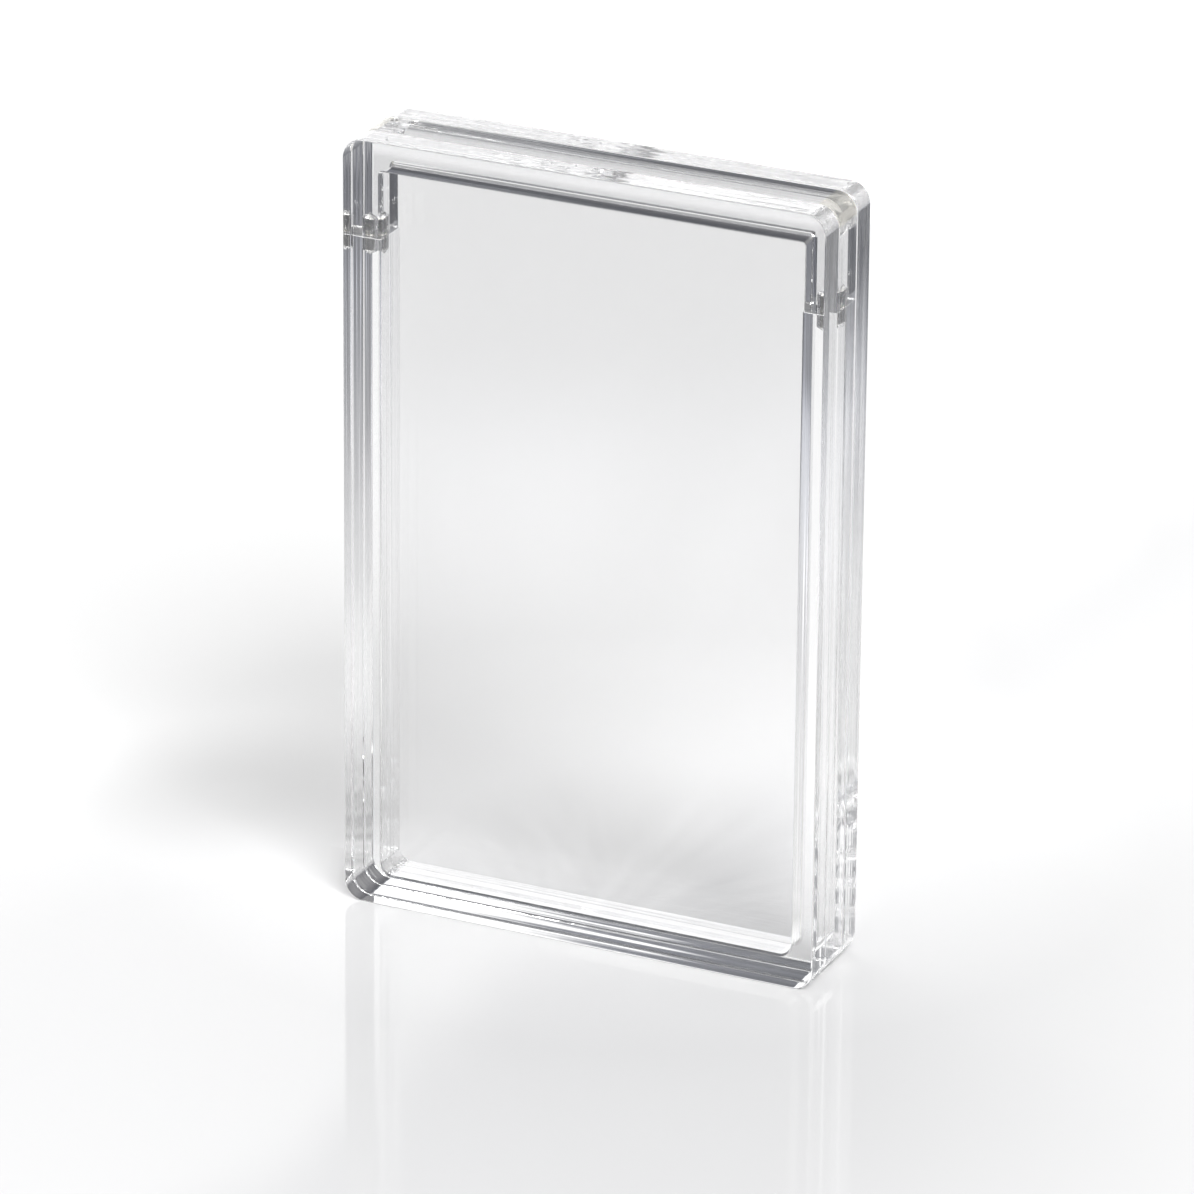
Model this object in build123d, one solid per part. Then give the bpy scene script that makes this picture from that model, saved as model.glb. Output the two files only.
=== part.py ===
from build123d import *
import os

# Slim clear acrylic display case for a graded trading-card slab.
# Three polished sheets: two full-height plates with a middle layer between them.
# The middle layer is a U-shaped frame bonded between the plates, closed at the
# top by a loose inverted-U lid that slides up and out. Two pairs of small disc
# magnets, one disc of each pair in the frame and one in the lid, hold it shut.
#
# Frame: origin at the centre of the base, +Z up, +X to the right, front is -Y.
# All lengths in millimetres.

# ---- overall ----
WIDTH = 95.4            # X
HEIGHT = 151.0          # Z
PLATE_T = 6.0           # front and back sheet thickness
MIDDLE_T = 8.0          # middle sheet thickness
CORNER_R = 4.0          # rounded corners of the outline, seen from the front
EDGE_BREAK = 0.3        # polished bevel round each plate's outer face

# ---- card cavity ----
WALL = 5.9              # side legs of the middle layer
FLOOR = 4.6             # bottom bar of the middle layer
CEILING_Z = 143.7       # underside of the lid's bar
CAVITY_R = 2.5          # inside corner radius of the cavity

# ---- lid ----
PART_Z = 130.8          # height of the joint between lid and frame
LID_SLIP = 0.08         # air gap on each face of the lid, plate to lid
LID_SEAT = 0.05         # air gap at the joint between lid and frame legs
LID_TOP_DROP = 0.0      # how far the lid's top sits below the plates' tops
LID_CORNER_R = 4.0      # outer corner radius of the lid, flush with the plates
LID_CAVITY_R = 0.5      # inside corners under the lid's bar, nearly square

# ---- magnets ----
MAG_D = 3.0
MAG_L = 3.0
POCKET_D = 3.1          # drilled pocket
POCKET_DEPTH = 3.1
DRILL_TIP = 0.93        # height of the drill's 118 degree cone
MAG_INSET = 2.55        # pocket axis from the outer side of the leg
MAG_X = WIDTH / 2 - MAG_INSET
MAG_RECESS = 0.05       # magnet face below the mouth of its pocket

DEPTH = 2 * PLATE_T + MIDDLE_T
Y_FRONT = -DEPTH / 2
Y_MID0 = Y_FRONT + PLATE_T
Y_MID1 = Y_MID0 + MIDDLE_T
Y_BACK = DEPTH / 2


def slab(outline, y0, y1):
    """Extrude a face drawn in X-Z from y0 to y1."""
    # Plane.XZ has its normal along -Y
    return extrude(Plane.XZ.offset(-y0) * outline, amount=-(y1 - y0))


def rounded(w, z0, z1, r):
    """Rounded rectangle in the sketch plane, centred in X, from z0 to z1."""
    return Pos(0, (z0 + z1) / 2) * RectangleRounded(w, z1 - z0, r)


def bevelled_plate(y0, y1, outer_y):
    """Full-height plate with its outer face's rim bevelled."""
    body = slab(rounded(WIDTH, 0, HEIGHT, CORNER_R), y0, y1)
    rim = body.edges().filter_by_position(Axis.Y, outer_y - 0.01, outer_y + 0.01)
    return chamfer(rim, EDGE_BREAK)


# ---------- outer plates ----------
front_plate = bevelled_plate(Y_FRONT, Y_MID0, Y_FRONT)
back_plate = bevelled_plate(Y_MID1, Y_BACK, Y_BACK)

# ---------- middle layer, outline of the bonded frame ----------
outer = rounded(WIDTH, 0, HEIGHT, CORNER_R)
hole = rounded(WIDTH - 2 * WALL, FLOOR, CEILING_Z, CAVITY_R)
ring = outer - hole
below = Pos(0, PART_Z / 2) * Rectangle(WIDTH + 2, PART_Z)
middle_frame = slab(ring & below, Y_MID0, Y_MID1)

# ---------- lid: the inverted U above the joint ----------
lid_top = HEIGHT - LID_TOP_DROP
lid_outer = rounded(WIDTH, 0, lid_top, LID_CORNER_R)
lid_z0 = PART_Z + LID_SEAT
above = Pos(0, (lid_z0 + HEIGHT + 1) / 2) * Rectangle(WIDTH + 2, HEIGHT + 1 - lid_z0)
lid_hole = rounded(WIDTH - 2 * WALL, FLOOR, CEILING_Z, LID_CAVITY_R)
lid_insert = slab((lid_outer - lid_hole) & above, Y_MID0 + LID_SLIP, Y_MID1 - LID_SLIP)


# ---------- magnet pockets ----------
def pocket(x, z_mouth, up):
    """Drilled blind pocket with its cone tip, opening at z_mouth."""
    r = POCKET_D / 2
    sign = 1 if up else -1
    profile = Plane.XZ * make_face(Polyline(
        (0, -sign * 0.5), (r, -sign * 0.5), (r, sign * POCKET_DEPTH),
        (0, sign * (POCKET_DEPTH + DRILL_TIP)), (0, -sign * 0.5)))
    return Pos(x, 0, z_mouth) * revolve(profile, Axis.Z)


def magnet(x, z_mouth, up):
    """Disc magnet, its face just below the pocket's mouth."""
    sign = 1 if up else -1
    z_mid = z_mouth + sign * (MAG_RECESS + MAG_L / 2)
    disc = Pos(x, 0, z_mid) * Cylinder(MAG_D / 2, MAG_L)
    return chamfer(disc.edges(), 0.15)


for x in (-MAG_X, MAG_X):
    lid_insert = lid_insert - pocket(x, lid_z0, True)
    middle_frame = middle_frame - pocket(x, PART_Z, False)

lid_magnet_left = magnet(-MAG_X, lid_z0, True)
lid_magnet_right = magnet(MAG_X, lid_z0, True)
frame_magnet_left = magnet(-MAG_X, PART_Z, False)
frame_magnet_right = magnet(MAG_X, PART_Z, False)

parts = {
    "front_plate": front_plate,
    "back_plate": back_plate,
    "middle_frame": middle_frame,
    "lid_insert": lid_insert,
    "lid_magnet_left": lid_magnet_left,
    "lid_magnet_right": lid_magnet_right,
    "frame_magnet_left": frame_magnet_left,
    "frame_magnet_right": frame_magnet_right,
}

os.makedirs("parts", exist_ok=True)
for name, shape in parts.items():
    solids = shape.solids()
    assert len(solids) == 1, name
    solid = solids[0]
    solid.label = name
    export_step(solid, f"parts/{name}.step")
    bb = solid.bounding_box()
    print(name, round(solid.volume, 1), [round(v, 2) for v in (*bb.min, *bb.max)])
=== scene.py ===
import math

import bpy
from mathutils import Matrix, Vector


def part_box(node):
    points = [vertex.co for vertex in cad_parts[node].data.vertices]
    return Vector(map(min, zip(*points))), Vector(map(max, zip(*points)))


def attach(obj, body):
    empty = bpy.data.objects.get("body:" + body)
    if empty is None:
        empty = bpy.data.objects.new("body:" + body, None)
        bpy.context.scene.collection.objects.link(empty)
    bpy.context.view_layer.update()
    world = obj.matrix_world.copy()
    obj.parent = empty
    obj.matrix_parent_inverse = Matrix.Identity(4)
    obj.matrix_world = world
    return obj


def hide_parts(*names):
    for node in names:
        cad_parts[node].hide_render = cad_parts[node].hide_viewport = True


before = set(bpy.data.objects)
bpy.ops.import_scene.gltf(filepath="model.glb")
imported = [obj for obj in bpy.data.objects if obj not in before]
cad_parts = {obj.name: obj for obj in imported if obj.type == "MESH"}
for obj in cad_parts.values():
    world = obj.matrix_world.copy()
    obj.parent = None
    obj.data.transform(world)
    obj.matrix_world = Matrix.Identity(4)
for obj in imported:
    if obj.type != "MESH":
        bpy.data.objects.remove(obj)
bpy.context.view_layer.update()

MM = 0.001
scene = bpy.context.scene

# --------------------------------------------------------------------------
# dimensions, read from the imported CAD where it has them
# --------------------------------------------------------------------------
lo_f, hi_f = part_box("front_plate")
lo_b, hi_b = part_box("back_plate")
lo_m, hi_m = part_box("middle_frame")
lo_l, hi_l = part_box("lid_insert")
W = (hi_f.x - lo_f.x) / MM
H = hi_f.z / MM
Y0, Y1, Y2, Y3 = lo_f.y / MM, hi_f.y / MM, lo_b.y / MM, hi_b.y / MM
PART_Z = hi_m.z / MM
LID_Z0 = lo_l.z / MM
LID_Y0, LID_Y1 = lo_l.y / MM, hi_l.y / MM

R_PLATE = 4.0
R_LID = 4.0
WALL, FLOOR_Z, CEIL_Z, R_IN = 5.9, 4.6, 143.7, 2.5
R_IN_LID = 0.5       # the corners under the lid's bar are nearly square
EDGE = 0.28          # polished bevel round the plates' outer faces
SEAM = 0.26          # V left where two cemented edges meet on the outside
SEAM_IN = 0.48       # the same round the cavity, wider where the cement did not reach
SEAM_Y = 0.28        # depth of both, measured through the thickness
ARC = 24             # facets in a quarter turn
MAG_X = W / 2 - 2.55
POCKET_R, POCKET_DEPTH, TIP = 1.55, 3.1, 0.93


# --------------------------------------------------------------------------
# materials
# --------------------------------------------------------------------------
def new_mat(name):
    m = bpy.data.materials.new(name)
    m.use_nodes = True
    nt = m.node_tree
    nt.nodes.clear()
    out = nt.nodes.new("ShaderNodeOutputMaterial")
    return m, nt, out


def noise(nt, coord, scale, detail=2.0, rough=0.5, stretch=None):
    n = nt.nodes.new("ShaderNodeTexNoise")
    n.inputs["Scale"].default_value = scale
    n.inputs["Detail"].default_value = detail
    n.inputs["Roughness"].default_value = rough
    src = coord
    if stretch is not None:
        mp = nt.nodes.new("ShaderNodeMapping")
        mp.inputs["Scale"].default_value = stretch
        nt.links.new(coord, mp.inputs["Vector"])
        src = mp.outputs["Vector"]
    nt.links.new(src, n.inputs["Vector"])
    return n


def ramp(nt, fac, stops):
    r = nt.nodes.new("ShaderNodeValToRGB")
    cr = r.color_ramp
    while len(cr.elements) < len(stops):
        cr.elements.new(0.5)
    for e, (p, c) in zip(cr.elements, stops):
        e.position = p
        e.color = (*c, 1.0) if len(c) == 3 else c
    nt.links.new(fac, r.inputs["Fac"])
    return r


def acrylic(name, wave=0.0, wave_scale=(60, 60, 60), fine=0.0, rough=(0.0, 0.02), tint=(0.928, 0.928, 0.93)):
    """Clear polished acrylic. wave is the slow ripple that flame polishing leaves, fine the machining marks under it."""
    m, nt, out = new_mat(name)
    p = nt.nodes.new("ShaderNodeBsdfPrincipled")
    p.inputs["Transmission Weight"].default_value = 1.0
    p.inputs["IOR"].default_value = 1.49
    tc = nt.nodes.new("ShaderNodeTexCoord")
    co = tc.outputs["Object"]
    # faint uneven haze and handling marks in roughness
    n1 = noise(nt, co, 90.0, 4.0, 0.6)
    r1 = ramp(nt, n1.outputs["Fac"], [(0.45, (rough[0],) * 3), (0.8, (rough[1],) * 3)])
    nt.links.new(r1.outputs["Color"], p.inputs["Roughness"])
    # almost colourless body, a little warmer and cooler by turns
    n2 = noise(nt, co, 14.0, 2.0, 0.5)
    r2 = ramp(nt, n2.outputs["Fac"], [(0.3, tint), (0.7, tuple(min(1.0, t + 0.008) for t in tint))])
    nt.links.new(r2.outputs["Color"], p.inputs["Base Color"])
    last = None
    if wave:
        n3 = noise(nt, co, 1.0, 1.0, 0.4, stretch=wave_scale)
        b = nt.nodes.new("ShaderNodeBump")
        b.inputs["Strength"].default_value = 1.0
        b.inputs["Distance"].default_value = wave
        nt.links.new(n3.outputs["Fac"], b.inputs["Height"])
        last = b.outputs["Normal"]
    if fine:
        n4 = noise(nt, co, 700.0, 3.0, 0.6)
        b2 = nt.nodes.new("ShaderNodeBump")
        b2.inputs["Strength"].default_value = 1.0
        b2.inputs["Distance"].default_value = fine
        nt.links.new(n4.outputs["Fac"], b2.inputs["Height"])
        if last is not None:
            nt.links.new(last, b2.inputs["Normal"])
        last = b2.outputs["Normal"]
    if last is not None:
        nt.links.new(last, p.inputs["Normal"])
    nt.links.new(p.outputs["BSDF"], out.inputs["Surface"])
    return m


def bond_mat():
    """A solvent-cemented joint: the two sheets have become one, so nothing bends or shines there."""
    m, nt, out = new_mat("acrylic_bond")
    t = nt.nodes.new("ShaderNodeBsdfTransparent")
    nt.links.new(t.outputs["BSDF"], out.inputs["Surface"])
    return m


def nickel_mat():
    m, nt, out = new_mat("nickel_plate")
    p = nt.nodes.new("ShaderNodeBsdfPrincipled")
    p.inputs["Metallic"].default_value = 1.0
    tc = nt.nodes.new("ShaderNodeTexCoord")
    co = tc.outputs["Object"]
    n = noise(nt, co, 900.0, 4.0, 0.6)
    c = ramp(nt, n.outputs["Fac"], [(0.3, (0.84, 0.82, 0.78)), (0.7, (0.97, 0.96, 0.93))])
    nt.links.new(c.outputs["Color"], p.inputs["Base Color"])
    r = ramp(nt, n.outputs["Fac"], [(0.3, (0.24,) * 3), (0.75, (0.10,) * 3)])
    nt.links.new(r.outputs["Color"], p.inputs["Roughness"])
    n2 = noise(nt, co, 2500.0, 2.0, 0.5)
    b = nt.nodes.new("ShaderNodeBump")
    b.inputs["Distance"].default_value = 0.00002
    b.inputs["Strength"].default_value = 0.5
    nt.links.new(n2.outputs["Fac"], b.inputs["Height"])
    nt.links.new(b.outputs["Normal"], p.inputs["Normal"])
    nt.links.new(p.outputs["BSDF"], out.inputs["Surface"])
    return m


MAT_FACE = acrylic("acrylic_sheet_face", rough=(0.0, 0.012))
MAT_EDGE = acrylic("acrylic_polished_edge", wave=0.00015, wave_scale=(9, 560, 6), rough=(0.0, 0.03))
MAT_DRILL = acrylic("acrylic_drilled", fine=0.00003, rough=(0.25, 0.4))
MAT_BASE = acrylic("acrylic_base_edge", wave=0.00006, wave_scale=(9, 300, 6), rough=(0.0, 0.03))
# the lid's outer corners: rough, and tinted cream as a painted reflection of the tan seen through them
MAT_SAWN_PAINTED_TAN = acrylic("acrylic_lid_corner", wave=0.00006, wave_scale=(60, 420, 60), fine=0.00001, rough=(0.10, 0.22), tint=(0.92, 0.89, 0.78))
MAT_CEIL = acrylic("acrylic_lid_underside", wave=0.00022, wave_scale=(26, 60, 26), rough=(0.0, 0.03))
MAT_BOND = bond_mat()
MAT_NICKEL = nickel_mat()
SLOTS = [MAT_FACE, MAT_EDGE, MAT_BOND, MAT_DRILL, MAT_SAWN_PAINTED_TAN, MAT_CEIL, MAT_BASE]
FACE, EDGE_M, BOND, DRILL, SAWN_PAINTED_TAN, CEIL_M, BASE = 0, 1, 2, 3, 4, 5, 6


# --------------------------------------------------------------------------
# mesh building, all in millimetres until the end
# --------------------------------------------------------------------------
def arc(cx, cz, r, a0, a1, n=ARC):
    return [(cx + r * math.cos(math.radians(a0 + (a1 - a0) * k / n)),
             cz + r * math.sin(math.radians(a0 + (a1 - a0) * k / n))) for k in range(n + 1)]


class Builder:
    def __init__(self):
        self.v, self.f, self.m = [], [], []

    def vert(self, x, y, z):
        self.v.append((x * MM, y * MM, z * MM))
        return len(self.v) - 1

    def ring(self, pts, y):
        return [self.vert(x, y, z) for x, z in pts]

    def face(self, idx, mat):
        if mat == EDGE_M and all(self.v[i][2] < 0.0006 for i in idx):
            mat = BASE
        self.f.append(tuple(idx))
        self.m.append(mat)

    def skin(self, a, b, mats, skip=()):
        n = len(a)
        for i in range(n):
            if i in skip:
                continue
            j = (i + 1) % n
            self.face((a[i], a[j], b[j], b[i]), mats[i] if isinstance(mats, (list, tuple)) else mats)

    def build(self, name, smooth=40.0):
        me = bpy.data.meshes.new(name)
        me.from_pydata(self.v, [], self.f)
        me.validate()
        import bmesh
        bm = bmesh.new()
        bm.from_mesh(me)
        bmesh.ops.recalc_face_normals(bm, faces=bm.faces[:])
        bm.to_mesh(me)
        bm.free()
        for m in SLOTS:
            me.materials.append(m)
        me.polygons.foreach_set("material_index", self.m)
        me.polygons.foreach_set("use_smooth", [True] * len(me.polygons))
        me.set_sharp_from_angle(angle=math.radians(smooth))
        me.update()
        o = bpy.data.objects.new(name, me)
        scene.collection.objects.link(o)
        w = o.modifiers.new("weighted", "WEIGHTED_NORMAL")
        w.mode = "FACE_AREA"
        w.weight = 100
        w.keep_sharp = True
        return o


def plate_outline(inset=0.0):
    """Outline seen from the front, counter-clockwise, with a point at the lid joint on each side."""
    w, r = W / 2 - inset, R_PLATE - inset
    z0, z1 = inset, H - inset
    pts = [(w, PART_Z)]
    pts += arc(w - r, z1 - r, r, 0, 90)
    pts += arc(-w + r, z1 - r, r, 90, 180)
    pts += [(-w, PART_Z)]
    pts += arc(-w + r, z0 + r, r, 180, 270)
    pts += arc(w - r, z0 + r, r, 270, 360)
    return pts


def cavity_low(grow=0.0):
    """Edge of the cavity below the lid joint, from the left leg's inner top round to the right leg's."""
    x, z, r = W / 2 - WALL + grow, FLOOR_Z - grow, R_IN + grow
    pts = [(-x, PART_Z)]
    pts += arc(-x + r, z + r, r, 180, 270)
    pts += arc(x - r, z + r, r, 270, 360)
    pts += [(x, PART_Z)]
    return pts


def make_plate(name, y_out, y_in):
    b = Builder()
    s = 1 if y_in > y_out else -1
    rings = []
    n = 4
    for k in range(n + 1):
        t = math.radians(90 * k / n)
        inset = EDGE * (1 - math.sin(t))
        rings.append(b.ring(plate_outline(inset), y_out + s * EDGE * (1 - math.cos(t))))
    rings.append(b.ring(plate_outline(0.0), y_in - s * SEAM_Y))
    last = b.ring(plate_outline(SEAM), y_in)
    rings.append(last)
    b.face(rings[0], FACE)
    for r0, r1 in zip(rings, rings[1:]):
        b.skin(r0, r1, EDGE_M)
    # inner face: the bonded U, and the rest that stays open to the cavity and the lid
    n_top = 1 + 2 * (ARC + 1)
    right, left = last[0], last[n_top]
    cav = b.ring(cavity_low(SEAM_IN), y_in)
    b.face(last[n_top:] + [right] + cav[::-1], BOND)
    b.face(last[:n_top + 1] + cav, FACE)
    return b.build(name)


def leg_end(b, loop, x, z, up):
    """A leg's flat end with its drilled pocket. loop holds the vertices round the end, in any order."""
    n = 32
    full = 2 * math.pi

    def ang(i):
        return math.atan2(b.v[i][1] / MM, b.v[i][0] / MM - x) % full

    def circle(r, zz):
        return [b.vert(x + r * math.cos(full * k / n), r * math.sin(full * k / n), zz) for k in range(n)]
    outer = sorted(loop, key=ang)
    oa = [ang(i) for i in outer]
    c0 = circle(POCKET_R, z)
    ca = [full * k / n for k in range(n)]
    no = len(outer)
    i, j = 0, round(oa[0] / full * n)
    i1, j1 = no, j + n
    while i < i1 or j < j1:
        na = oa[(i + 1) % no] + full * ((i + 1) // no)
        nc = ca[(j + 1) % n] + full * ((j + 1) // n)
        if j >= j1 or (i < i1 and na <= nc):
            b.face((outer[i % no], outer[(i + 1) % no], c0[j % n]), EDGE_M)
            i += 1
        else:
            b.face((outer[i % no], c0[(j + 1) % n], c0[j % n]), EDGE_M)
            j += 1
    s = 1 if up else -1
    c1 = circle(POCKET_R, z + s * POCKET_DEPTH)
    b.skin(c0, c1, DRILL)
    tip = b.vert(x, 0, z + s * (POCKET_DEPTH + TIP))
    for k in range(n):
        b.face((c1[k], c1[(k + 1) % n], tip), DRILL)


def frame_outline(io, grow):
    w, r = W / 2 - io, R_PLATE - io
    return ([(-w, PART_Z)] + arc(-w + r, io + r, r, 180, 270) + arc(w - r, io + r, r, 270, 360) + [(w, PART_Z)]
            + cavity_low(grow)[::-1])


def make_frame():
    b = Builder()
    rings = [b.ring(frame_outline(SEAM, SEAM_IN), Y1), b.ring(frame_outline(0, 0), Y1 + SEAM_Y),
             b.ring(frame_outline(0, 0), Y2 - SEAM_Y), b.ring(frame_outline(SEAM, SEAM_IN), Y2)]
    n_out = 2 + 2 * (ARC + 1)
    n = len(rings[0])
    # the two leg ends are the segments that cross the joint
    seg_r, seg_l = n_out - 1, n - 1
    b.skin(rings[0], rings[1], EDGE_M)
    b.skin(rings[1], rings[2], EDGE_M, skip=(seg_r, seg_l))
    b.skin(rings[2], rings[3], EDGE_M)
    b.face(rings[0], BOND)
    b.face(rings[3], BOND)
    for seg, x in ((seg_r, MAG_X), (seg_l, -MAG_X)):
        i, j = seg, (seg + 1) % n
        leg_end(b, (rings[1][i], rings[1][j], rings[2][j], rings[2][i]), x, PART_Z, False)
    return b.build("middle_frame_clear")


LID_BREAK = 0.2      # small round on the lid's outer edges
LID_BREAK_IN = 0.55  # larger bevel on the edges of its opening, in the plane of the lid
LID_BREAK_D = 0.80   # and through its thickness
CROWN_Y = 0.0        # behind this the underside of the lid's bar curves up
CROWN = 0.022        # how fast it rises away from there


def lid_outline(io, ii, iz, lift):
    """Inverted U. io insets the outside, ii the inside, iz the leg ends, lift raises the underside of the bar."""
    w, r = W / 2 - io, R_LID - io
    top = H - io
    x = W / 2 - WALL + ii
    ceil = CEIL_Z + ii + lift
    ri = R_IN_LID + ii
    z0 = LID_Z0 + iz
    pts = [(w, z0)] + arc(w - r, top - r, r, 0, 90) + arc(-w + r, top - r, r, 90, 180) + [(-w, z0)]
    pts += [(-x, z0)] + arc(-x + ri, ceil - ri, ri, 180, 90) + arc(x - ri, ceil - ri, ri, 90, 0) + [(x, z0)]
    return pts


def eased(br, d):
    """Inset of a quarter-round of radius br at distance d in from the flat face."""
    return br - math.sqrt(max(0.0, br * br - (br - d) ** 2)) if d < br else 0.0


def bevelled(d):
    """Inset of the opening's bevel at distance d in from the flat face."""
    return LID_BREAK_IN * max(0.0, 1.0 - d / LID_BREAK_D)


def make_lid():
    b = Builder()
    depth = LID_Y1 - LID_Y0
    near = [0.0, 0.015, 0.05, 0.11, 0.2, LID_BREAK_D]
    steps = near + [LID_BREAK_D + (depth - 2 * LID_BREAK_D) * k / 10 for k in range(1, 10)] + [depth - d for d in near[::-1]]
    rings = []
    for d in steps:
        e = min(d, depth - d)
        y = LID_Y0 + d
        io, ii = eased(LID_BREAK, e), bevelled(e)
        lift = CROWN * max(0.0, y - CROWN_Y) ** 2
        rings.append(b.ring(lid_outline(io, ii, io, lift), y))
    npt = len(rings[0])
    n_out = 2 + 2 * (ARC + 1)
    seg_l, seg_r = n_out - 1, npt - 1
    # material round the section: sides and top, the two outer corners with their painted tan reflection, the underside
    # of the bar
    mats = [EDGE_M] * npt
    for k in range(1, 1 + ARC):
        mats[k] = SAWN_PAINTED_TAN
        mats[k + ARC + 1] = SAWN_PAINTED_TAN
    for k in range(n_out + 1, npt - 1):
        mats[k] = CEIL_M
    first = near.index(0.2)
    last = len(steps) - 1 - first
    for k, (r0, r1) in enumerate(zip(rings, rings[1:])):
        b.skin(r0, r1, mats, skip=(seg_l, seg_r) if first <= k < last else ())
    for seg, x in ((seg_r, MAG_X), (seg_l, -MAG_X)):
        i, j = seg, (seg + 1) % npt
        leg_end(b, [r[i] for r in rings[first:last + 1]] + [r[j] for r in rings[first:last + 1]], x, LID_Z0, True)
    b.face(rings[0], FACE)
    b.face(rings[-1], FACE)
    return b.build("lid_insert_clear")


def make_magnet(node, name):
    lo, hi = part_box(node)
    cx, cy = (lo.x + hi.x) / 2 / MM, (lo.y + hi.y) / 2 / MM
    r = (hi.x - lo.x) / 2 / MM
    z0, z1 = lo.z / MM, hi.z / MM
    br, n, seg = 0.15, 48, 4
    b = Builder()
    prof = []
    for k in range(seg + 1):
        t = math.radians(90 * k / seg)
        prof.append((r - br * (1 - math.sin(t)), z0 + br * (1 - math.cos(t))))
    prof += [(p, z0 + z1 - z) for p, z in prof[::-1]]
    rings = [[b.vert(cx + p * math.cos(2 * math.pi * k / n), cy + p * math.sin(2 * math.pi * k / n), z) for k in range(n)] for p, z in prof]
    for r0, r1 in zip(rings, rings[1:]):
        b.skin(r0, r1, 0)
    b.face(rings[0], 0)
    b.face(rings[-1], 0)
    o = b.build(name)
    o.data.materials.clear()
    o.data.materials.append(MAT_NICKEL)
    return o


front = make_plate("front_plate_clear", Y0, Y1)
back = make_plate("back_plate_clear", Y3, Y2)
mid = make_frame()
lid = make_lid()
for o, node, body in ((front, "front_plate", "case_body"), (back, "back_plate", "case_body"),
                      (mid, "middle_frame", "case_body"), (lid, "lid_insert", "lid")):
    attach(o, body)
    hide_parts(node)
for node, body in (("lid_magnet_left", "lid"), ("lid_magnet_right", "lid"),
                   ("frame_magnet_left", "case_body"), ("frame_magnet_right", "case_body")):
    o = make_magnet(node, node + "_disc")
    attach(o, body)
    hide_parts(node)


# --------------------------------------------------------------------------
# floor, studio and lights
# --------------------------------------------------------------------------
def bounced(nt, high=None):
    """1 for a view that has already been mirrored inside or off the case, else 0. The studio round the table is only seen that way."""
    lp = nt.nodes.new("ShaderNodeLightPath")
    g = nt.nodes.new("ShaderNodeMath")
    g.operation = "GREATER_THAN"
    g.inputs[1].default_value = 0.5
    nt.links.new(lp.outputs["Glossy Depth"], g.inputs[0])
    d = nt.nodes.new("ShaderNodeMath")
    d.operation = "LESS_THAN"
    d.inputs[1].default_value = 0.5
    nt.links.new(lp.outputs["Diffuse Depth"], d.inputs[0])
    hit = g.outputs[0]
    if high is not None:
        # bent views that end up high on the studio wall or sky, never the straight view through
        c = math_node(nt, "LESS_THAN", lp.outputs["Is Camera Ray"], 0.5)
        hit = math_node(nt, "MAXIMUM", hit, math_node(nt, "MULTIPLY", c, high))
    return math_node(nt, "MULTIPLY", hit, d.outputs[0])


def math_node(nt, op, a, b=None, clamp=False):
    n = nt.nodes.new("ShaderNodeMath")
    n.operation = op
    n.use_clamp = clamp
    for i, v in enumerate((a, b)):
        if v is None:
            continue
        if isinstance(v, (int, float)):
            n.inputs[i].default_value = v
        else:
            nt.links.new(v, n.inputs[i])
    return n.outputs[0]


def smooth(nt, v, a, b, top=1.0):
    """0 at a, rising smoothly to top at b."""
    n = nt.nodes.new("ShaderNodeMapRange")
    n.interpolation_type = "SMOOTHSTEP"
    n.inputs["From Min"].default_value = a
    n.inputs["From Max"].default_value = b
    n.inputs["To Max"].default_value = top
    nt.links.new(v, n.inputs["Value"])
    return n.outputs[0]


def around(nt, vec, scale, lo, hi):
    """Slow light and dark patches round the compass, from lo to hi."""
    sep = nt.nodes.new("ShaderNodeSeparateXYZ")
    nt.links.new(vec, sep.inputs[0])
    flat = nt.nodes.new("ShaderNodeCombineXYZ")
    nt.links.new(sep.outputs["X"], flat.inputs["X"])
    nt.links.new(sep.outputs["Y"], flat.inputs["Y"])
    nrm = nt.nodes.new("ShaderNodeVectorMath")
    nrm.operation = "NORMALIZE"
    nt.links.new(flat.outputs[0], nrm.inputs[0])
    n = noise(nt, nrm.outputs[0], scale, 1.5, 0.5)
    mr = nt.nodes.new("ShaderNodeMapRange")
    mr.inputs["From Min"].default_value = 0.33
    mr.inputs["From Max"].default_value = 0.67
    mr.inputs["To Min"].default_value = lo
    mr.inputs["To Max"].default_value = hi
    nt.links.new(n.outputs["Fac"], mr.inputs["Value"])
    return mr.outputs[0]


FLOOR_PAINTED_LIGHT_PATCH = (5.0, 0.15, 2.4)
SKY_PATCH = (5.0, 0.45, 1.6)


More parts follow.
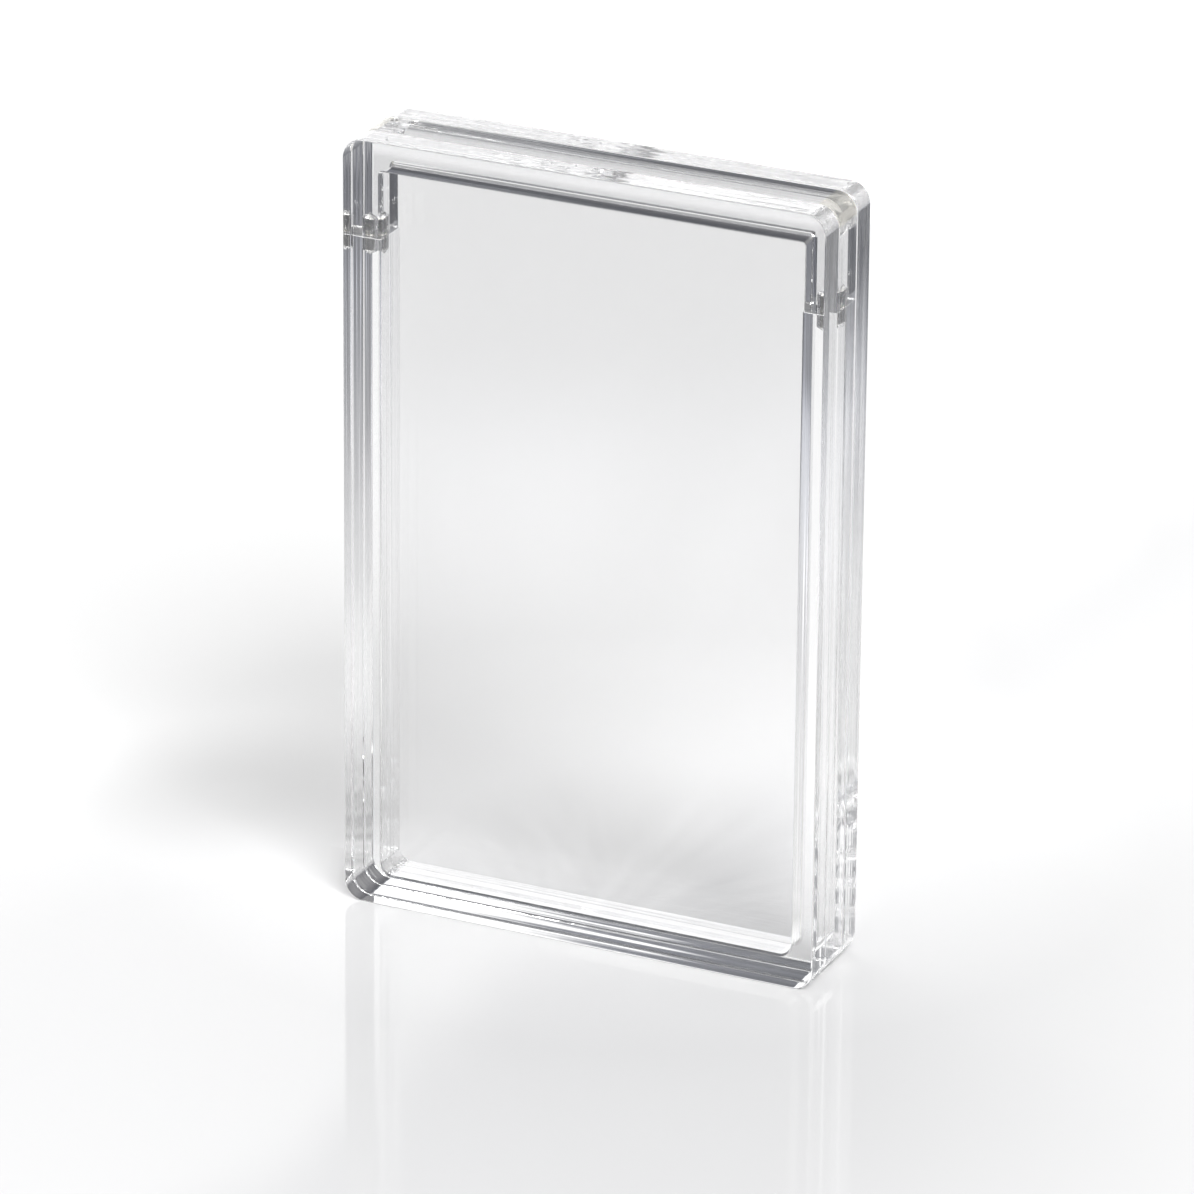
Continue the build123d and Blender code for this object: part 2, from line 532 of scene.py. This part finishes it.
def make_floor():
    me = bpy.data.meshes.new("studio_floor")
    s = 6.0
    me.from_pydata([(-s, -s, 0), (s, -s, 0), (s, s, 0), (-s, s, 0)], [], [(0, 1, 2, 3)])
    o = bpy.data.objects.new("studio_floor", me)
    scene.collection.objects.link(o)
    o.location.z = -0.00005
    m, nt, out = new_mat("floor_white_gloss")
    p = nt.nodes.new("ShaderNodeBsdfPrincipled")
    p.inputs["Roughness"].default_value = 0.06
    p.inputs["IOR"].default_value = 1.6
    # the lit part of the table fades out away from the case
    geo = nt.nodes.new("ShaderNodeNewGeometry")
    ln = nt.nodes.new("ShaderNodeVectorMath")
    ln.operation = "LENGTH"
    nt.links.new(geo.outputs["Position"], ln.inputs[0])
    fall = ramp(nt, ln.outputs["Value"], [(0.12, (0.80, 0.80, 0.80)), (0.19, (0.54, 0.54, 0.55)), (0.25, (0.31, 0.315, 0.33)),
                                          (0.32, (0.16, 0.165, 0.185)), (0.50, (0.065, 0.07, 0.085))])
    # painted light and shade: slow brighter and darker patches round the case in the floor's colour, seen in mirrored
    # views
    painted_light_patch = around(nt, geo.outputs["Position"], FLOOR_PAINTED_LIGHT_PATCH[0], FLOOR_PAINTED_LIGHT_PATCH[1], FLOOR_PAINTED_LIGHT_PATCH[2])
    out_r = nt.nodes.new("ShaderNodeMapRange")
    out_r.interpolation_type = "SMOOTHSTEP"
    out_r.inputs["From Min"].default_value = 0.13
    out_r.inputs["From Max"].default_value = 0.24
    nt.links.new(ln.outputs["Value"], out_r.inputs["Value"])
    k = math_node(nt, "ADD", 1.0, math_node(nt, "MULTIPLY", out_r.outputs[0], math_node(nt, "SUBTRACT", painted_light_patch, 1.0)))
    # and painted shade close behind: darker, bluish patches in the floor's colour
    painted_shade_patch = around(nt, geo.outputs["Position"], 9.0, 0.30, 1.35)
    near_r = nt.nodes.new("ShaderNodeMapRange")
    near_r.interpolation_type = "SMOOTHSTEP"
    near_r.inputs["From Min"].default_value = 0.066
    near_r.inputs["From Max"].default_value = 0.045
    nt.links.new(ln.outputs["Value"], near_r.inputs["Value"])
    k = math_node(nt, "MULTIPLY", k, math_node(nt, "ADD", 1.0, math_node(nt, "MULTIPLY", near_r.outputs[0], math_node(nt, "SUBTRACT", painted_shade_patch, 1.0))))
    # painted shade: the floor's colour is darker far off to the left
    sx = nt.nodes.new("ShaderNodeSeparateXYZ")
    nt.links.new(geo.outputs["Position"], sx.inputs[0])
    left = nt.nodes.new("ShaderNodeMapRange")
    left.interpolation_type = "SMOOTHSTEP"
    left.inputs["From Min"].default_value = -0.03
    left.inputs["From Max"].default_value = -0.11
    nt.links.new(sx.outputs["X"], left.inputs["Value"])
    far = nt.nodes.new("ShaderNodeMapRange")
    far.interpolation_type = "SMOOTHSTEP"
    far.inputs["From Min"].default_value = 0.24
    far.inputs["From Max"].default_value = 0.32
    nt.links.new(ln.outputs["Value"], far.inputs["Value"])
    painted_far_left_shade = math_node(nt, "MULTIPLY", math_node(nt, "MULTIPLY", left.outputs[0], far.outputs[0]), 0.88)
    k = math_node(nt, "MULTIPLY", k, math_node(nt, "SUBTRACT", 1.0, painted_far_left_shade))
    # painted light: a bright strip in the floor's colour far behind to the right
    painted_light_zone = smooth(nt, sx.outputs["X"], 0.10, 0.15, 1.5)
    behind = math_node(nt, "GREATER_THAN", sx.outputs["Y"], 0.0)
    painted_light_band = math_node(nt, "MULTIPLY", smooth(nt, ln.outputs["Value"], 0.16, 0.23), smooth(nt, ln.outputs["Value"], 0.335, 0.295))
    k = math_node(nt, "ADD", k, math_node(nt, "MULTIPLY", math_node(nt, "MULTIPLY", painted_light_zone, behind), painted_light_band))
    # and a softer painted light in front to the left
    lf = nt.nodes.new("ShaderNodeMapRange")
    lf.interpolation_type = "SMOOTHSTEP"
    lf.inputs["From Min"].default_value = 0.14
    lf.inputs["From Max"].default_value = 0.27
    lf.inputs["To Max"].default_value = 0.25
    nt.links.new(ln.outputs["Value"], lf.inputs["Value"])
    painted_light_corner = math_node(nt, "MULTIPLY", smooth(nt, sx.outputs["X"], -0.03, -0.10), smooth(nt, sx.outputs["Y"], -0.06, -0.13))
    k = math_node(nt, "ADD", k, math_node(nt, "MULTIPLY", painted_light_corner, lf.outputs[0]))
    fallk = nt.nodes.new("ShaderNodeVectorMath")
    fallk.operation = "SCALE"
    nt.links.new(fall.outputs["Color"], fallk.inputs[0])
    nt.links.new(k, fallk.inputs["Scale"])
    mix = nt.nodes.new("ShaderNodeMix")
    mix.data_type = "RGBA"
    # painted shade: the floor's colour is a little greyer in front of the case, where its image lies in the gloss
    fr = nt.nodes.new("ShaderNodeVectorMath")
    fr.operation = "DISTANCE"
    nt.links.new(geo.outputs["Position"], fr.inputs[0])
    fr.inputs[1].default_value = (-0.01, -0.08, 0.0)
    near = ramp(nt, fr.outputs["Value"], [(0.0, (0.76, 0.76, 0.765)), (0.09, (0.78, 0.78, 0.785)), (0.17, (0.915, 0.915, 0.915))])
    # soft shadow to the left
    sh = nt.nodes.new("ShaderNodeVectorMath")
    sh.operation = "DISTANCE"
    nt.links.new(geo.outputs["Position"], sh.inputs[0])
    sh.inputs[1].default_value = (-0.087, 0.026, 0.0)
    shade = nt.nodes.new("ShaderNodeMapRange")
    shade.interpolation_type = "SMOOTHSTEP"
    shade.inputs["From Min"].default_value = 0.005
    shade.inputs["From Max"].default_value = 0.040
    shade.inputs["To Min"].default_value = 0.72
    shade.inputs["To Max"].default_value = 1.0
    nt.links.new(sh.outputs["Value"], shade.inputs["Value"])
    nears = nt.nodes.new("ShaderNodeVectorMath")
    nears.operation = "SCALE"
    nt.links.new(near.outputs["Color"], nears.inputs[0])
    nt.links.new(shade.outputs[0], nears.inputs["Scale"])
    nt.links.new(nears.outputs[0], mix.inputs[6])
    nt.links.new(bounced(nt), mix.inputs[0])
    nt.links.new(fallk.outputs[0], mix.inputs[7])
    nt.links.new(mix.outputs[2], p.inputs["Base Color"])
    # painted glow: the table emits light under and just behind the case, standing in for the light that the thick
    # sheets carry down
    gl = nt.nodes.new("ShaderNodeVectorMath")
    gl.operation = "DISTANCE"
    nt.links.new(geo.outputs["Position"], gl.inputs[0])
    gl.inputs[1].default_value = (-0.012, 0.045, 0.0)
    painted_glow = ramp(nt, gl.outputs["Value"], [(0.0, (0.23,) * 3), (0.035, (0.22,) * 3), (0.065, (0.10,) * 3), (0.10, (0.0,) * 3)])
    painted_glow_under = math_node(nt, "MULTIPLY", math_node(nt, "LESS_THAN", math_node(nt, "ABSOLUTE", sx.outputs["Y"]), 0.0096),
                      math_node(nt, "LESS_THAN", math_node(nt, "ABSOLUTE", sx.outputs["X"]), 0.0440))
    gs = nt.nodes.new("ShaderNodeMix")
    gs.data_type = "RGBA"
    nt.links.new(painted_glow_under, gs.inputs[0])
    # painted glow, most of all close behind its back, more to the left
    ys = smooth(nt, sx.outputs["Y"], 0.042, 0.014, 0.18)
    xs = nt.nodes.new("ShaderNodeMapRange")
    xs.inputs["From Min"].default_value = 0.04
    xs.inputs["From Max"].default_value = -0.045
    xs.inputs["To Min"].default_value = 0.55
    nt.links.new(sx.outputs["X"], xs.inputs["Value"])
    sides = math_node(nt, "MULTIPLY", smooth(nt, sx.outputs["X"], 0.0465, 0.036), smooth(nt, sx.outputs["X"], -0.062, -0.050))
    inside = math_node(nt, "MULTIPLY", math_node(nt, "GREATER_THAN", sx.outputs["Y"], 0.0101), sides)
    painted_glow_strip = math_node(nt, "MULTIPLY", math_node(nt, "MULTIPLY", ys, xs.outputs[0]), inside)
    # painted glow: the sweep is lit up again farther back on the right
    painted_glow_strip = math_node(nt, "ADD", painted_glow_strip, math_node(nt, "MULTIPLY", smooth(nt, sx.outputs["X"], -0.005, 0.045, 0.09), smooth(nt, sx.outputs["Y"], 0.05, 0.12)))
    # and the brightest painted glow far back, where only the lid's bar looks
    painted_glow_strip = math_node(nt, "ADD", painted_glow_strip, smooth(nt, sx.outputs["Y"], 0.367, 0.3735, 0.30))
    ga = nt.nodes.new("ShaderNodeVectorMath")
    ga.operation = "ADD"
    nt.links.new(painted_glow.outputs["Color"], ga.inputs[0])
    nt.links.new(painted_glow_strip, ga.inputs[1])
    nt.links.new(ga.outputs[0], gs.inputs[6])
    # painted glow of the table right under the case
    gs.inputs[7].default_value = (0.95, 0.95, 0.95, 1.0)
    nt.links.new(gs.outputs[2], p.inputs["Emission Color"])
    p.inputs["Emission Strength"].default_value = 1.0
    nt.links.new(p.outputs["BSDF"], out.inputs["Surface"])
    me.materials.append(m)
    return o


make_floor()


def make_backdrop():
    """Studio wall behind the table: bright low down, dark above a slanted edge. Only mirrored views inside the acrylic see it."""
    me = bpy.data.meshes.new("studio_backdrop")
    me.from_pydata([(-1.6, 0, 0), (1.6, 0, 0), (1.6, 0, 1.2), (-1.6, 0, 1.2)], [], [(0, 1, 2, 3)])
    o = bpy.data.objects.new("studio_backdrop", me)
    scene.collection.objects.link(o)
    o.location.y = 0.6
    m, nt, out = new_mat("backdrop_mat")
    geo = nt.nodes.new("ShaderNodeNewGeometry")
    sep = nt.nodes.new("ShaderNodeSeparateXYZ")
    nt.links.new(geo.outputs["Position"], sep.inputs[0])
    # height above the slanted edge
    h = math_node(nt, "ADD", sep.outputs["Z"], math_node(nt, "MULTIPLY", sep.outputs["X"], 0.9))
    n = noise(nt, geo.outputs["Position"], 9.0, 3.0, 0.55)
    h = math_node(nt, "ADD", h, math_node(nt, "MULTIPLY", math_node(nt, "SUBTRACT", n.outputs["Fac"], 0.5), 0.10))
    mr = nt.nodes.new("ShaderNodeMapRange")
    mr.inputs["From Min"].default_value = BACKDROP_EDGE - 0.012
    mr.inputs["From Max"].default_value = BACKDROP_EDGE + 0.90
    nt.links.new(h, mr.inputs["Value"])
    col = ramp(nt, mr.outputs[0], [(0.0, (1.0, 1.0, 1.0)), (0.03, (0.20, 0.205, 0.23)), (0.08, (0.16, 0.165, 0.18)),
                                   (0.14, (0.08, 0.083, 0.094)), (0.24, (0.10, 0.10, 0.11)), (0.45, (0.19, 0.19, 0.20)), (0.75, (0.30, 0.30, 0.30)),
                                   (1.0, (0.5, 0.5, 0.5))])
    em = nt.nodes.new("ShaderNodeEmission")
    nt.links.new(col.outputs["Color"], em.inputs["Color"])
    em.inputs["Strength"].default_value = 1.3
    tr = nt.nodes.new("ShaderNodeBsdfTransparent")
    mx = nt.nodes.new("ShaderNodeMixShader")
    nt.links.new(bounced(nt, math_node(nt, "GREATER_THAN", sep.outputs["Z"], 0.16)), mx.inputs[0])
    nt.links.new(tr.outputs["BSDF"], mx.inputs[1])
    nt.links.new(em.outputs["Emission"], mx.inputs[2])
    nt.links.new(mx.outputs["Shader"], out.inputs["Surface"])
    me.materials.append(m)
    return o


BACKDROP_EDGE = 0.05
make_backdrop()

world = bpy.data.worlds.new("studio")
scene.world = world
world.use_nodes = True
wnt = world.node_tree
wnt.nodes.clear()
wo = wnt.nodes.new("ShaderNodeOutputWorld")
bg = wnt.nodes.new("ShaderNodeBackground")
bg.inputs["Color"].default_value = (1, 1, 1, 1)
wlp = wnt.nodes.new("ShaderNodeLightPath")
wdiff = math_node(wnt, "GREATER_THAN", wlp.outputs["Diffuse Depth"], 0.5)
wnt.links.new(math_node(wnt, "SUBTRACT", 1.0, math_node(wnt, "MULTIPLY", wdiff, 0.40)), bg.inputs["Strength"])
bg2 = wnt.nodes.new("ShaderNodeBackground")
wtc = wnt.nodes.new("ShaderNodeTexCoord")
sep = wnt.nodes.new("ShaderNodeSeparateXYZ")
wnt.links.new(wtc.outputs["Generated"], sep.inputs[0])
sky = ramp(wnt, sep.outputs["Z"], [(0.0, (0.50, 0.51, 0.53)), (0.15, (0.42, 0.43, 0.45)), (0.40, (0.30, 0.305, 0.32)),
                                   (0.70, (0.38, 0.38, 0.39)), (0.88, (1.0, 1.0, 1.0))])
wnt.links.new(sky.outputs["Color"], bg2.inputs["Color"])
wnt.links.new(around(wnt, wtc.outputs["Generated"], *SKY_PATCH), bg2.inputs["Strength"])
wmix = wnt.nodes.new("ShaderNodeMixShader")
wnt.links.new(bounced(wnt, math_node(wnt, "GREATER_THAN", sep.outputs["Z"], 0.02)), wmix.inputs[0])
wnt.links.new(bg.outputs["Background"], wmix.inputs[1])
wnt.links.new(bg2.outputs["Background"], wmix.inputs[2])
wnt.links.new(wmix.outputs["Shader"], wo.inputs["Surface"])


def area(name, size, loc, target, power, color=(1, 1, 1)):
    d = bpy.data.lights.new(name, "AREA")
    d.shape = "RECTANGLE"
    d.size, d.size_y = size
    d.energy = power
    d.color = color
    o = bpy.data.objects.new(name, d)
    scene.collection.objects.link(o)
    o.location = loc
    o.rotation_mode = "QUATERNION"
    o.rotation_quaternion = (Vector(loc) - Vector(target)).to_track_quat("Z", "Y")
    return o


# key: high, in front and to the right of the camera
az_cam = math.radians(24.78)
az_key = math.radians(24.78 + 19)
el_key = math.radians(47)
kd = 2.6
area("key", (1.1, 1.1),
     (kd * math.sin(az_key) * math.cos(el_key), -kd * math.cos(az_key) * math.cos(el_key), kd * math.sin(el_key)),
     (0, 0, 0.05), 52.0)

# --------------------------------------------------------------------------
# camera
# --------------------------------------------------------------------------
Hm = H * MM
a, e, r = math.radians(24.78), math.radians(22.62), math.radians(0.50)
vb = Vector((math.sin(a) * math.cos(e), -math.cos(a) * math.cos(e), math.sin(e)))
vr = Vector((math.cos(a), math.sin(a), 0.0))
vu = Vector((-math.sin(a) * math.sin(e), math.cos(a) * math.sin(e), math.cos(e)))
cr_ = vr * math.cos(r) + vu * math.sin(r)
cu_ = -vr * math.sin(r) + vu * math.cos(r)
dist = 10.65 * Hm
off = 2.0 / 8801.0 * dist
tx, ty = 0.008 * Hm - off, 0.056 * Hm + off
centre = Vector((0, 0, Hm / 2))
loc = centre + vb * dist - cr_ * tx - cu_ * ty
cam_d = bpy.data.cameras.new("camera")
cam_d.sensor_width = 36.0
cam_d.lens = 36.0 * 8801.0 / 1194.0
cam_d.clip_start, cam_d.clip_end = 0.05, 20.0
cam = bpy.data.objects.new("camera", cam_d)
scene.collection.objects.link(cam)
rot = Matrix((cr_, cu_, vb)).transposed()
cam.matrix_world = Matrix.Translation(loc) @ rot.to_4x4()
scene.camera = cam

scene.view_settings.view_transform = "Standard"
scene.view_settings.look = "None"
scene.cycles.max_bounces = 100
scene.cycles.transmission_bounces = 100
scene.cycles.glossy_bounces = 100
scene.cycles.transparent_max_bounces = 100
scene.cycles.diffuse_bounces = 4
scene.cycles.caustics_reflective = True
scene.cycles.caustics_refractive = True
scene.cycles.use_denoising = True

bpy.context.view_layer.update()
